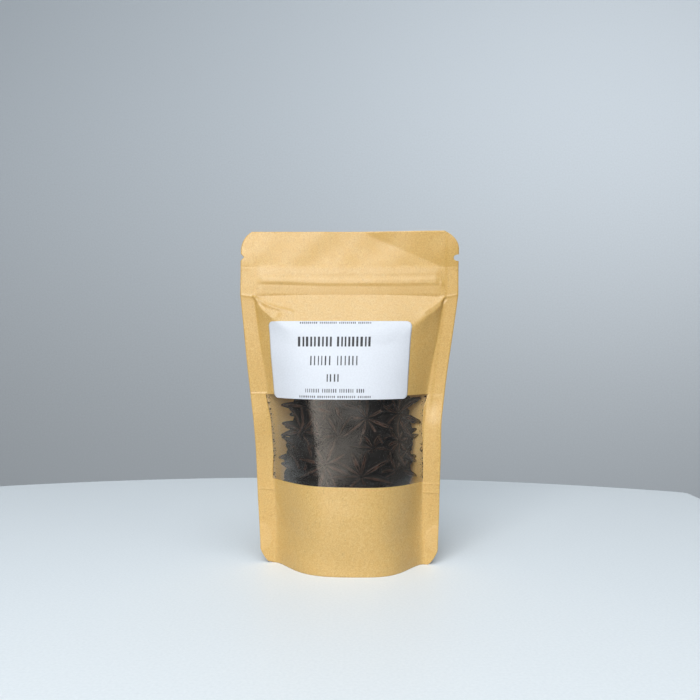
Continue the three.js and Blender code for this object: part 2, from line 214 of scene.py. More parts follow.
def paper_edge(z, side):
    """How far out the cut edge lies: the side seal's edge, less a quarter superellipse at the foot,
    an arc at the top that the top edge cuts short, and the tear notch: a V left, a slot right."""
    reach = np.where(side > 0, RIGHT_CORNER, CORNER)
    up = np.maximum(z - CORNER_START, 0) / CORNER
    arc = HALF - reach * (1 - np.sqrt(np.maximum(1 - up**2, 0)))
    down = np.maximum(FOOT_CUT_TALL - z, 0) / FOOT_CUT_TALL
    cut = 1 - np.maximum(1 - down**FOOT_CUT_POWER, 0) ** (1 / FOOT_CUT_POWER)
    foot = FOOT_CUT_WIDE * cut + 0.35 * fade(6, 32, z)
    off = np.abs(z - np.where(side > 0, RIGHT_NOTCH, LEFT_NOTCH))
    slot = np.where(off < SLOT, 1.0 + np.sqrt(np.maximum(SLOT**2 - off**2, 0)), 0)
    notch = np.where(side > 0, slot, np.maximum(1.6 - 0.9 * off, 0))
    return np.minimum(HALF, arc) - foot - notch


def trimmed(u, z):
    """u with the side seal squeezed in to the cut edge."""
    beyond = np.maximum(np.abs(u) - PANEL, 0)
    return u - np.sign(u) * beyond * (HALF - paper_edge(z, np.sign(u))) / SEAL


def ridge(u, z, points, width, rise):
    """A pressed line through points: rise * exp(-(d / width)^2), d being the distance to it."""
    points = np.asarray(points, float)
    best = np.full(np.broadcast(u, z).shape, 1e9)
    for (ua, za), (ub, zb) in zip(points, points[1:]):
        du, dz = ub - ua, zb - za
        along = np.clip(((u - ua) * du + (z - za) * dz) / (du**2 + dz**2), 0, 1)
        best = np.minimum(best, np.hypot(u - ua - along * du, z - za - along * dz))
    return rise * bell(best, width)


def waves(u, z, seed, count, longest, size):
    """Slack in the paper: a sum of sines in seeded directions, each shorter than the last."""
    rng = np.random.default_rng(seed)
    total = 0
    for k in range(count):
        way, start = rng.uniform(0, np.pi), rng.uniform(0, 2 * np.pi)
        length = longest * 0.8**k
        total = total + np.sin((u * np.cos(way) + z * np.sin(way)) * 2 * np.pi / length + start)
    return size * total / count


def drift(u, z):
    """The slowest waves, which every layer of the pouch shares."""
    return waves(u, z, 21, 5, 70, 0.28)


def zip_rise(u, z):
    """The zip's print-through: a low flange with a ridge along it, crushed flat in the seals."""
    z = z + waves(u, 0 * z, 12, 5, 90, 0.3)
    inside = fade(43.0, 47.5, np.abs(u))
    upper_edge = 1 - smooth(148.1, 148.7, z) * (1 - inside) - smooth(145.2, 150.0, z) * inside
    lower_edge = 0.35 * smooth(134.0, 135.3, z) + 0.65 * smooth(134.4, 139.4, z)
    flange = lower_edge * upper_edge * (0.10 + 0.32 * inside)
    raised = z - 0.6 * smooth(5, 45, -u)
    body = smooth(138.9, 141.0, raised) * fade(142.1, 144.7, raised)
    body *= (1 + waves(u, 0 * z, 14, 5, 34, 0.6)) * (0.8 + 0.2 * smooth(-20, 20, u))
    crushed_end = bell(u - 46.6, 0.8) * bell(z - 140.5, 1.8)
    return flange + 0.46 * body * inside + 0.35 * crushed_end


def slack(u, z, face):
    """The slow waves of one panel between its seals and under the zip."""
    filled = fade(PANEL - 4, PANEL, np.abs(u))
    below_zip = fade(130, ZIP_LOW, z)
    over_film = 1 - 0.5 * smooth(36, 44, z) * fade(86, 96, z) * (face == FRONT)
    seed = 3 if face == FRONT else 8
    return waves(u, z, seed, 6, 46, 0.30) * filled * below_zip * over_film


def header_lean(u, z):
    """From the zip up both plies lean back a little and flutter; the right corner leans forward
    again about a slanting fold."""
    from_fold = (u - 5.5) * 0.405 + (z - HEIGHT) * 0.914
    right = -0.17 * np.maximum(soft_min(from_fold, from_fold * 0 + 60, 1), 0)
    back = 0.08 * (z - ZIP_LOW) * (1 - 0.4 * smooth(0, 45, u))
    flutter = waves(u, z, 33, 5, 34, 0.42)
    return (right + flutter) * smooth(144, 153, z) + back * smooth(132, 138, z)


# Creases of the front panel: the points (u, z) that a line runs through, its width, and how far
# it stands out of the paper, or below nought sinks in.
CREASES = [
    ([(-47.6, 133.6), (-43.0, 127.5), (-38.5, 123.5)], 0.6, 0.55),
    ([(-48.0, 133.7), (-42.0, 130.2), (-36.0, 128.0), (-28.0, 126.0)], 0.75, 0.70),
    ([(-44.4, 129.6), (-41.0, 127.2), (-35.5, 124.6)], 1.9, -0.85),
    ([(-54.0, 134.6), (-48.0, 133.8)], 0.6, 0.22),
    ([(47.6, 133.2), (44.0, 130.6), (37.0, 126.0)], 0.8, 0.45),
    ([(47.0, 133.6), (54.0, 134.6)], 0.6, 0.22),
    ([(48.6, 132.6), (47.4, 130.6)], 0.7, -0.45),
    ([(-45.0, 31.0), (-42.5, 26.0), (-41.0, 22.8)], 0.9, -0.30),
]
SPOT = 12.5  # height of the round spots in the side seals, where the foot's plies are joined


def from_spot(u, z):
    """Distance from the middle of the spot, which lies on the side seal's edge."""
    return np.hypot(np.abs(u) - HALF, z - SPOT)


def seal_marks(u, z):
    """The marks of the sealing bars beside the panel: a band from foot to label with a pressed
    line at both ends, a third line on the right, and the spot with a low rim."""
    level = z + window_slant(u)
    marks = 0.20 * smooth(36.2, 36.9, level) * fade(84.9, 85.5, level)
    for line, on in ((36.5, 1), (85.2, 1), (41.0, u > 0)):
        marks += 0.16 * on * bell(level - line, 0.35)
    spot = from_spot(u, z)
    marks += 0.16 * fade(6.3, 7.0, spot) + 0.05 * bell(spot - 6.8, 0.4)
    return marks * smooth(PANEL - 2.5, PANEL - 0.5, np.abs(u))


def panel(u, z, face):
    """The finished panel: the bow, the zip, the creases, the marks of sealing and the slack."""
    point = bare_panel(u, z, face)
    rise = zip_rise(u, z) + slack(u, z, face) + seal_marks(u, z)
    if face == FRONT:
        rise += sum(ridge(u, z, *crease) for crease in CREASES)
    point[..., 1] += face * rise + header_lean(u, z) + drift(u, z)
    return point


def in_scene(name, data):
    """An object at the origin that holds the data."""
    made = bpy.data.objects.new(name, data)
    bpy.context.scene.collection.objects.link(made)
    return made


def made_of(name, points, faces, painted):
    """A smooth piece from points in millimetres (count, xyz) and lists of the faces' corners, with
    one number a point under each name in painted, for the materials to read."""
    mesh = bpy.data.meshes.new(name)
    mesh.from_pydata(points * MM, [], faces)
    mesh.shade_smooth()
    for title, numbers in painted.items():
        layer = mesh.attributes.new(title, "FLOAT", "POINT")
        layer.data.foreach_set("value", np.asarray(numbers, np.float32))
    return in_scene(name, mesh)


def surface(name, points, keep=None, **painted):
    """A sheet through a grid of points in millimetres, (rows, columns, xyz). Each cell is one quad,
    facing the way that columns cross rows; cells that keep leaves out are holes."""
    rows, columns = points.shape[:2]
    at = np.arange(rows * columns).reshape(rows, columns)
    cells = np.stack([at[:-1, :-1], at[:-1, 1:], at[1:, 1:], at[1:, :-1]], axis=-1)
    cells = cells.reshape(-1, 4) if keep is None else cells[keep]
    used, cells = np.unique(cells, return_inverse=True)
    painted = {title: numbers.reshape(-1)[used] for title, numbers in painted.items()}
    return made_of(name, points.reshape(-1, 3)[used], cells.reshape(-1, 4).tolist(), painted)


def thicken(piece, thickness, side):
    """Gives a sheet its thickness, inwards for side -1 and outwards for side 1. The face made so
    takes the sheet's last material."""
    wall = piece.modifiers.new("thickness", "SOLIDIFY")
    wall.thickness, wall.offset = thickness * MM, side
    wall.use_even_offset = False
    wall.material_offset = len(piece.data.materials) - 1


def colour(code):
    """An sRGB hex code as linear red, green and blue with full alpha."""
    part = np.array([int(code[i : i + 2], 16) for i in (1, 3, 5)]) / 255
    linear = np.where(part <= 0.04045, part / 12.92, ((part + 0.055) / 1.055) ** 2.4)
    return (*(float(c) for c in linear), 1.0)


def new_material(name):
    """A material with no nodes yet."""
    material = bpy.data.materials.new(name)
    material.use_nodes = True
    material.node_tree.nodes.clear()
    return material


def add(material, kind, inputs=(), **settings):
    """Adds one shader node: its own options, and each input a value, a hex code, or an output to
    link, given as (node, output), or as the node alone for its first."""
    tree = material.node_tree
    made = tree.nodes.new("ShaderNode" + kind)
    for option, value in settings.items():
        setattr(made, option, value)
    for socket, value in dict(inputs).items():
        node, output = value if isinstance(value, tuple) and len(value) == 2 else (value, 0)
        if isinstance(node, bpy.types.Node):
            tree.links.new(node.outputs[output], made.inputs[socket])
        else:
            made.inputs[socket].default_value = colour(value) if isinstance(value, str) else value
    return made


def finish_with(piece, *materials):
    """Gives a piece its material, and its inner face's where that differs."""
    for material in materials:
        piece.data.materials.append(material)


# Kraft paper, unbleached, calendered and laminated: fibres make a fine mottle of half a
# millimetre with a slower cloud of three, a dark fleck every few millimetres, and the pressed
# outside has a satin gloss. It is thin enough to let a third of the light through.
kraft = new_material("laminated_kraft_paper")
place = add(kraft, "TexCoord"), "Object"
stretch = add(kraft, "Mapping", {"Vector": place, "Rotation": (0, 0.5, 0), "Scale": (1, 1, 0.35)})
grain = add(kraft, "TexNoise", {"Vector": place, "Scale": 1700, "Detail": 3, "Roughness": 0.6})
cloud = add(kraft, "TexNoise", {"Vector": place, "Scale": 330, "Detail": 2})
fibre = add(kraft, "TexNoise", {"Vector": stretch, "Scale": 1500, "Detail": 2, "Distortion": 0.8})
fleck = add(kraft, "TexVoronoi", {"Vector": place, "Scale": 190, "Randomness": 1.0})
pale = add(kraft, "MapRange", {"Value": grain, "From Min": 0.3, "From Max": 0.7})
base = add(kraft, "Mix", {"Factor": pale, 6: "#DEAD59", 7: "#F8D289"}, data_type="RGBA")
clouds = add(kraft, "MapRange", {"Value": cloud, "From Min": 0.35, "From Max": 0.65, "To Max": 0.3})
base = add(kraft, "Mix", {"Factor": clouds, 6: (base, 2), 7: "#F0BF6A"}, data_type="RGBA")
threads = add(
    kraft, "MapRange", {"Value": fibre, "From Min": 0.62, "From Max": 0.72, "To Max": 0.28}
)
base = add(kraft, "Mix", {"Factor": threads, 6: (base, 2), 7: "#B98C48"}, data_type="RGBA")
spots = add(
    kraft, "MapRange",
    {"Value": fleck, "From Min": 0.02, "From Max": 0.07, "To Min": 0.35, "To Max": 0.0},
)
base = add(kraft, "Mix", {"Factor": spots, 6: (base, 2), 7: "#8A6638"}, data_type="RGBA")
dense = add(kraft, "Attribute", attribute_name="pressed")
pressing = add(
    kraft, "Mix", {"Factor": (dense, "Fac"), 6: "#F7FFFE", 7: "#F8FDE5"}, data_type="RGBA"
)
base = add(
    kraft, "Mix",
    {"Factor": 1.0, 6: (base, 2), 7: (pressing, 2)},
    data_type="RGBA", blend_type="MULTIPLY",
)
# Paler on the spots, and over the zip partly from the white plastic behind and partly as a painted
# sheen.
light = add(kraft, "Attribute", attribute_name="paler")
light = add(kraft, "Math", {0: (light, "Fac"), 1: 0.14}, operation="MULTIPLY")
base = add(kraft, "Mix", {"Factor": light, 6: (base, 2), 7: "#FADB98"}, data_type="RGBA")
pores = add(kraft, "Bump", {"Height": grain, "Strength": 0.25, "Distance": 0.00012})
satin = add(kraft, "MapRange", {"Value": cloud, "To Min": 0.40, "To Max": 0.52})
skin = add(
    kraft, "BsdfPrincipled",
    {"Base Color": (base, 2), "Roughness": satin, "IOR": 1.62,
     "Specular IOR Level": 1.0, "Normal": pores},
)
glow = add(kraft, "BsdfTranslucent", {"Color": (base, 2)})
body = add(kraft, "MixShader", {"Fac": 0.32, 1: skin, 2: glow})
add(kraft, "OutputMaterial", {"Surface": body})

# The inside: polyethylene, run on to the paper hot as a clear lining: smooth, with a soft shine.
# The paper behind it is painted paler than outside: painted light for the light that reaches the
# pouch's inside.
lining = new_material("polyethylene_lining_painted_paler")
place = add(lining, "TexCoord"), "Object"
show = add(lining, "TexNoise", {"Vector": place, "Scale": 900, "Detail": 3})
# Painted light: these paler colours stand in for the light inside the pouch.
inner = add(lining, "Mix", {"Factor": show, 6: "#F2D08F", 7: "#FDE2AC"}, data_type="RGBA")
skin = add(lining, "BsdfPrincipled", {"Base Color": (inner, 2), "Roughness": 0.35, "IOR": 1.51})
glow = add(lining, "BsdfTranslucent", {"Color": (inner, 2)})
body = add(lining, "MixShader", {"Fac": 0.32, 1: skin, 2: glow})
add(lining, "OutputMaterial", {"Surface": body})

U, Z = sheared(*np.meshgrid(COLUMNS, ROWS))
U = trimmed(U, Z)

# Where both plies are pressed together the paper looks denser, most of all over the header. It
# looks paler on the spots; over the zip it is paler partly because its white plastic lies right
# behind it and partly as a painted sheen where the zip catches the light.
pressed = 0.5 * smooth(PANEL - 1.8, PANEL - 1.2, np.abs(U)) + 0.3 * smooth(134.3, 135.3, Z)
pressed = np.clip(pressed + 0.7 * smooth(147.5, 149.5, Z), 0, 1)
zip_show_and_painted_sheen = smooth(134.6, 136, Z) * fade(142.5, 144.5, Z) * fade(44, 47, np.abs(U))
paler = fade(6.5, 7.0, from_spot(U, Z)) + 1.2 * zip_show_and_painted_sheen
inside_u = (COLUMNS[:-1] > WINDOW_LEFT - 0.01) & (COLUMNS[1:] < WINDOW_RIGHT + 0.01)
inside_z = (ROWS[:-1] > WINDOW_LOW - 0.01) & (ROWS[1:] < WINDOW_HIGH + 0.01)
opening = inside_z[:, None] & inside_u
points = panel(U, Z, FRONT)
front = surface("kraft_front_panel", points, keep=~opening, pressed=pressed, paler=paler)
turned = np.s_[:, ::-1]
points = panel(U, Z, BACK)[turned]
back = surface("kraft_back_panel", points, pressed=pressed[turned], paler=paler[turned])

FOLD_LOW, FOLD_HIGH = 4.4, 35.0  # height of the fold in the middle and in the side seals
SKIRT = 3.0  # height at which the foot's sheet leaves the panels


def gusset_points(u, v):
    """The foot's folded sheet: v runs from the front panel's skirt, -1, to the back's, 1. It lies
    low across the middle and rises to its fold in the side seals."""
    s = np.abs(share(u, 0 * u + 10))
    fold = FOLD_LOW + (FOLD_HIGH - FOLD_LOW) * s**4
    z = SKIRT + (fold - SKIRT) * (1 - np.abs(v) ** 2.2)
    gap = 0.1 + PAPER
    front_face, back_face = bare_panel(u, z, FRONT), bare_panel(u, z, BACK)
    x = (front_face[..., 0] + back_face[..., 0]) / 2
    middle = (front_face[..., 1] + back_face[..., 1]) / 2
    reach = (back_face[..., 1] - front_face[..., 1]) / 2 - PLY
    y = middle + v * np.maximum(reach - gap * smooth(0, 1, reach), 0.02)
    return xyz(x, y + drift(u, z), z)


FOOT_COLUMNS = lines([-52, -40, 40, 52], [22, 80, 22])
GU, GV = np.meshgrid(FOOT_COLUMNS, lines([-1, -0.2, 0.2, 1], [18, 8, 18]))
gusset = surface("kraft_foot_gusset", gusset_points(GU, GV)[::-1])
for sheet_of_paper in (front, back, gusset):
    finish_with(sheet_of_paper, kraft, lining)
    thicken(sheet_of_paper, PAPER, -1)
    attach(sheet_of_paper, "root")
    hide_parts("kraft_pouch")

# ---- The window: clear film ----
# A band of clear plastic film laminated behind an opening cut in the front panel. It takes the
# panel's curve and mirrors whatever is bright in front of it, softly.

FILM = 0.08  # thickness
BEHIND_PAPER = 0.02  # the laminate's glue


def film_points(u, z):
    """The front panel's inside, with the film's own slight slack within the opening."""
    point = panel(u, z, FRONT)
    point[..., 1] += PAPER + BEHIND_PAPER
    within = fade(40, 46, np.abs(u)) * smooth(42, 48, z) * fade(79, 85, z)
    point[..., 1] += within * waves(u, z, 5, 6, 30, 0.10)
    return point


FU, FZ = np.meshgrid(lines([-47.8, -40, 40, 47.8], [12, 100, 12]), np.linspace(39, 88, 62))
# Painted glare: a veil that grows towards both ends of the window, where the film slants away, and
# weakens near the label.
dust = smooth(23, 33, np.abs(FU)) * smooth(44, 56, FZ + 14 * (FU < 0))
dust *= 1 - 0.5 * smooth(70, 80, FZ)
film = surface("clear_window_film", film_points(FU, FZ), dust=dust)
thicken(film, FILM, -1)

# Biaxially drawn polypropylene film, cast between rollers: clear, with a faint haze, a painted
# glare towards both ends, a paler veil standing in for the milky reflection where the film slants
# away, and the gloss of a plastic of index 1.5, a little blurred: 4.5% seen straight on, and the
# rest with the fifth power of the slant.
clear = new_material("clear_polypropylene_film")
place = add(clear, "TexCoord"), "Object"
mist = add(clear, "TexNoise", {"Vector": place, "Scale": 45, "Detail": 3})
veil = add(
    clear, "MapRange",
    {"Value": mist, "From Min": 0.3, "From Max": 0.7, "To Min": 0.001, "To Max": 0.004},
)
# Painted glare: the veil thickens where this attribute marks the window's ends.
edge_glare_amount = add(clear, "Attribute", attribute_name="dust")
edge_glare_amount = add(clear, "Math", {0: (edge_glare_amount, "Fac"), 1: mist}, operation="MULTIPLY")
veil = add(clear, "Math", {0: edge_glare_amount, 1: 0.042, 2: veil}, operation="MULTIPLY_ADD")
slant = add(clear, "LayerWeight", {"Blend": 0.5})
grazing = add(clear, "Math", {0: (slant, "Facing"), 1: 5.0}, operation="POWER")
edge_on = add(clear, "Math", {0: grazing, 1: 0.955, 2: 0.045}, operation="MULTIPLY_ADD")
through = add(clear, "BsdfTransparent", {"Color": "#FDFDFB"})
mirror = add(clear, "BsdfGlossy", {"Color": "#FFFFFF", "Roughness": 0.16})
haze = add(clear, "BsdfDiffuse", {"Color": "#E8E4DC"})
hazed = add(clear, "MixShader", {"Fac": veil, 1: through, 2: haze})
glossed = add(clear, "MixShader", {"Fac": edge_on, 1: hazed, 2: mirror})
add(clear, "OutputMaterial", {"Surface": glossed})
finish_with(film, clear)
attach(film, "root")
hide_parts("window_film")

# ---- The label: white paper with rows of plain printed marks ----
# One die-cut self-adhesive label, stuck across the panel just over the window's upper edge, with
# plain bars where a seller prints words.

LABEL_LEFT, LABEL_RIGHT, LABEL_LOW, LABEL_HIGH = -40.3, 31.4, 83.3, 121.2
LABEL_CORNER = 2.6  # radius
LABEL_THICK = GLUE = 0.12  # the paper, and how far its glue holds it off
INK = 0.03


def on_label(u, z, rise):
    """A point on the label: the bare panel's curve, raised off it by rise."""
    point = bare_panel(u, z, FRONT)
    point[..., 1] += drift(u, z) - rise - 0.8 * slack(u, z, FRONT)
    return point


def label_grid():
    """A grid over the rounded rectangle: rows crowd into the corners, and each row runs from one
    rounded side to the other."""
    t = np.linspace(0, 1, 7)
    corner = LABEL_CORNER * (1 - np.cos(t * np.pi / 2))
    straight = np.linspace(LABEL_LOW + LABEL_CORNER, LABEL_HIGH - LABEL_CORNER, 40)
    z = np.concatenate([LABEL_LOW + corner[:-1], straight, LABEL_HIGH - corner[-2::-1]])
    near_end = np.maximum(LABEL_CORNER - np.minimum(z - LABEL_LOW, LABEL_HIGH - z), 0)
    inset = LABEL_CORNER - np.sqrt(np.maximum(LABEL_CORNER**2 - near_end**2, 0))
    across = np.linspace(0, 1, 90)
    left = LABEL_LEFT - 0.025 * (LABEL_HIGH - z) + inset
    right = LABEL_RIGHT - 0.018 * (z - LABEL_LOW) - inset
    u = left[:, None] + across * (right - left)[:, None]
    return u, np.broadcast_to(z[:, None], u.shape)


LU, LZ = label_grid()
label = surface("paper_label", on_label(LU, LZ, GLUE))
thicken(label, LABEL_THICK, 1)

# Coated white label paper, smooth and slightly blue, with a low sheen and a very fine tooth.
coated = new_material("coated_label_paper")
place = add(coated, "TexCoord"), "Object"
tooth = add(coated, "TexNoise", {"Vector": place, "Scale": 1400, "Detail": 2})
shade = add(coated, "MapRange", {"Value": tooth, "From Min": 0.35, "From Max": 0.65})
white = add(coated, "Mix", {"Factor": shade, 6: "#CFD4DC", 7: "#D4D9E1"}, data_type="RGBA")
nap = add(coated, "Bump", {"Height": tooth, "Strength": 0.08, "Distance": 0.00005})
skin = add(
    coated, "BsdfPrincipled",
    {"Base Color": (white, 2), "Roughness": 0.55, "IOR": 1.5,
     "Specular IOR Level": 0.35, "Normal": nap},
)
add(coated, "OutputMaterial", {"Surface": skin})
finish_with(label, coated)
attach(label, "root")
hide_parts("sticker")

# Rows of strokes: middle, height, left and right ends, width of a stroke, gap after it, and how
# many strokes stand together.
MARK_ROWS = [
    (120.35, 0.9, -23.6, 11.0, 0.42, 0.50, 9),
    (111.1, 4.8, -24.6, 14.2, 1.00, 0.95, 9),
    (101.9, 4.5, -18.2, 6.2, 0.55, 1.25, 6),
    (93.6, 3.6, -9.9, -1.6, 0.55, 1.10, 4),
    (87.5, 1.8, -20.4, 8.2, 0.40, 0.60, 7),
    (84.6, 1.0, -23.7, 12.0, 0.42, 0.52, 9),
]


def mark_spans():
    """Ends of the strokes along each row: width and gap vary by a fifth, seeded, and a wider gap
    follows each group."""
    rng = np.random.default_rng(4)
    spans = []
    for middle, height, start, end, stroke, gap, group in MARK_ROWS:
        left, number = start, 1
        while left < end - stroke:
            right = left + stroke * rng.uniform(0.8, 1.25)
            spans.append((left, right, middle - height / 2, middle + height / 2))
            left = right + gap * rng.uniform(0.8, 1.2) + (1.6 * gap if number % group == 0 else 0)
            number += 1
    return np.array(spans)


def mark_points(spans):
    """A grid of 3 by 5 points for every stroke, lying on the label."""
    a, b = np.meshgrid(np.linspace(-1, 1, 3), np.linspace(-1, 1, 5))
    left, right, low, high = (spans[:, k, None, None] for k in range(4))
    u = (left + right) / 2 + a * (right - left) / 2
    z = (low + high) / 2 + b * (high - low) / 2
    return on_label(u, z, GLUE + LABEL_THICK + INK)


# All strokes stand in one grid, without the cells from the top of one to the foot of the next.
strokes = mark_points(mark_spans())
within_stroke = np.ones((len(strokes) * 5 - 1, 2), bool)
within_stroke[4::5] = False
printing = surface("label_print_marks", strokes.reshape(-1, 3, 3), keep=within_stroke)

# Thermal print: soft black, matt, a little uneven where the head pressed less.
ink = new_material("thermal_print")
place = add(ink, "TexCoord"), "Object"
wear = add(ink, "TexNoise", {"Vector": place, "Scale": 2600, "Detail": 1})
uneven = add(ink, "MapRange", {"Value": wear, "From Min": 0.4, "From Max": 0.75})
black = add(ink, "Mix", {"Factor": uneven, 6: "#26262A", 7: "#4A4B50"}, data_type="RGBA")
skin = add(ink, "BsdfPrincipled", {"Base Color": (black, 2), "Roughness": 0.6, "IOR": 1.45})
add(ink, "OutputMaterial", {"Surface": skin})
finish_with(printing, ink)
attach(printing, "root")
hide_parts("sticker")

# ---- The star anise: dried star-shaped fruits ----
# Each fruit is eight woody, boat-shaped carpels round a short hub. They split along the upper
# edge as they dry, and show one glossy seed each. They lie loose, flat sides to the film.


def closed_skins(name, points, **painted):
    """Closed skins in one mesh, from points in millimetres (skins, rings, points round, xyz); the
    first and last ring of each close on a pole. painted holds attributes, one value a point."""
    skins, rings, around, _ = points.shape
    at = np.arange(skins * rings * around).reshape(skins, rings, around)
    turned = np.roll(at, -1, axis=2)
    quads = np.stack([at[:, :-1], turned[:, :-1], turned[:, 1:], at[:, 1:]], axis=-1).reshape(-1, 4)
    poles = points[:, [0, -1]].mean(axis=2).reshape(-1, 3)
    pole = (at.size + 2 * np.arange(skins))[:, None] + np.zeros((1, around), int)
    start = np.stack([turned[:, 0], at[:, 0], pole], axis=-1).reshape(-1, 3)
    end = np.stack([at[:, -1], turned[:, -1], pole + 1], axis=-1).reshape(-1, 3)
    faces = quads.tolist() + start.tolist() + end.tolist()
    for title, values in painted.items():
        values = np.broadcast_to(values, points.shape[:3])
        ends = values[:, [0, -1]].mean(axis=2).reshape(-1)
        painted[title] = np.concatenate([values.reshape(-1), ends])
    return made_of(name, np.concatenate([points.reshape(-1, 3), poles]), faces, painted)


# A carpel's section, up the outside from keel to lip, down the inside, and back over the other
# half: each point's share of the height, its side, and 1 on the inner wall.
OUTER = np.linspace(0, 1, 8)
INNER = np.array([0.96, 0.7, 0.4, 0.0])
RISE = np.concatenate([OUTER, INNER, INNER[-2::-1], OUTER[:0:-1]])
SIDE = np.repeat([1.0, -1.0], [len(OUTER) + len(INNER), len(OUTER) + len(INNER) - 2])
WITHIN = np.repeat([0, 1, 0], [len(OUTER), 2 * len(INNER) - 1, len(OUTER) - 1])
WALL = 0.42  # thickness of a carpel's wall
STATIONS = np.array([0, 0.07, 0.15, 0.25, 0.36, 0.48, 0.6, 0.72, 0.83, 0.92, 0.97, 1.0])


def carpels(length, width, height, opening, beak, rng):
    """Boat-shaped carpels along +x, one for each value in the arrays. At a share t of the length
    and r millimetres out, a carpel's half-width is the lesser of 0.36 r and, past t = 0.42,
    W / 2 (1 - ((t - 0.42) / 0.6)^2)^0.55. Each has a bowed keel, a slightly hollow upper edge that
    is split open, and a beak that turns up. Returns the points and how near each is to the lip."""
    shape = (len(length), len(STATIONS), len(RISE))
    t = STATIONS[None, :, None]
    sizes = (length, width, height, opening, beak)
    length, width, height, opening, beak = (size[:, None, None] for size in sizes)
    r = 1.0 + (length - 1.0) * t
    taper = np.clip(1 - (np.maximum(t - 0.42, 0) / 0.6) ** 2, 0, 1) ** 0.55
    half = np.minimum(0.36 * r, width / 2 * taper)
    top = beak * t**3 - 0.5 * np.sin(np.pi * t)
    keel = 0.55 + 0.45 * np.sin(np.pi * np.clip(t * 1.15, 0, 1))
    deep = height * keel * (1 - 0.8 * t**4)
    gap = np.maximum(opening / 2 * np.sin(np.pi * np.clip(t * 1.02, 0, 1)) ** 0.7, 0.07)
    gap = np.minimum(gap, half * 0.85)
    belly = np.sin(np.pi * RISE) ** 0.75
    outer = np.where(RISE > 0.5, gap + (half - gap) * belly, half * belly)
    wall = np.minimum(WALL, half * 0.5)
    across = np.where(WITHIN > 0, np.maximum(outer - wall, gap * 0.7 * RISE), outer)
    across = np.where((WITHIN > 0) & (RISE == 0), 0, across)
    up = (1 - np.cos(np.pi * RISE)) / 2
    floor = -deep + WITHIN * np.minimum(0.5, deep * 0.3)
    rough = rng.normal(0, 0.09, shape) * np.where(RISE > 0.9, 0.3, 1)
    y = SIDE * np.maximum(across * (1 + rough), 0)
    z = top + floor * (1 - up) + rng.normal(0, 0.07, shape)
    bend = rng.normal(0, 0.35, (shape[0], 1, 1)) * t**2
    lip = np.broadcast_to(np.clip((RISE - 0.84) / 0.16, 0, 1), shape)
    return xyz(r, y + bend, z), lip


def turn(axis, angle):
    """Rotation matrices about "x", "y" or "z", for an array of angles: cosines on the diagonal and
    sines off it, in the plane of the other two axes."""
    k = "xyz".index(axis)
    i, j = (k + 1) % 3, (k + 2) % 3
    matrix = np.zeros((*np.shape(angle), 3, 3))
    matrix[..., k, k] = 1
    matrix[..., i, i] = matrix[..., j, j] = np.cos(angle)
    matrix[..., j, i] = np.sin(angle)
    matrix[..., i, j] = -np.sin(angle)
    return matrix


# Local x to the right, local y up and the split side towards the film.
TO_FILM = np.array([[1.0, 0, 0], [0, 0, -1], [0, 1, 0]])
ARMS = 8  # carpels in a fruit
EVEN = tuple(np.arange(ARMS) * 360.0 / ARMS)
ARM = 13.0  # length of a carpel
LINING_GAP = 0.5  # nothing in the pouch comes nearer to the panels than this


def star_frames(stars):
    """Each fruit's rotation: spun about its own axis, tipped up or down, then turned sideways,
    and turned right over where it shows its underside. Angles in degrees."""
    spin, tip, yaw, flip = (np.radians([s[k] for s in stars]) for k in (2, 3, 4, 5))
    local = turn("x", tip) @ turn("y", yaw) @ turn("x", flip) @ turn("z", spin)
    return TO_FILM @ local


def room(points):
    """The y of the middle surface and half the depth inside the pouch at each point's x and z."""
    z = points[..., 2]
    x = points[..., 0] - sideways(z)
    s = np.clip(np.abs(x) / (half_width(z) - SEAL), 0, 1)
    inside = depth_at(s, z, np.interp(z, LEVELS, MIDDLE_DEPTHS))
    return middle_surface(x, z)[1], np.maximum(inside, 0.6)


def rotated(skins, turns):
    """Each skin's points turned by its own matrix."""
    return np.einsum("kij,ksmj->ksmi", turns, skins)


def ball():
    """Seven rings of eight points along x, at t from -1 to 1, of radius sqrt(1 - (0.985 t)^2)."""
    t = np.linspace(-1, 1, 7)[:, None]
    theta = np.arange(8) * np.pi / 4
    ring = np.sqrt(1 - (t * 0.985) ** 2)
    return xyz(t, ring * np.cos(theta), ring * np.sin(theta))


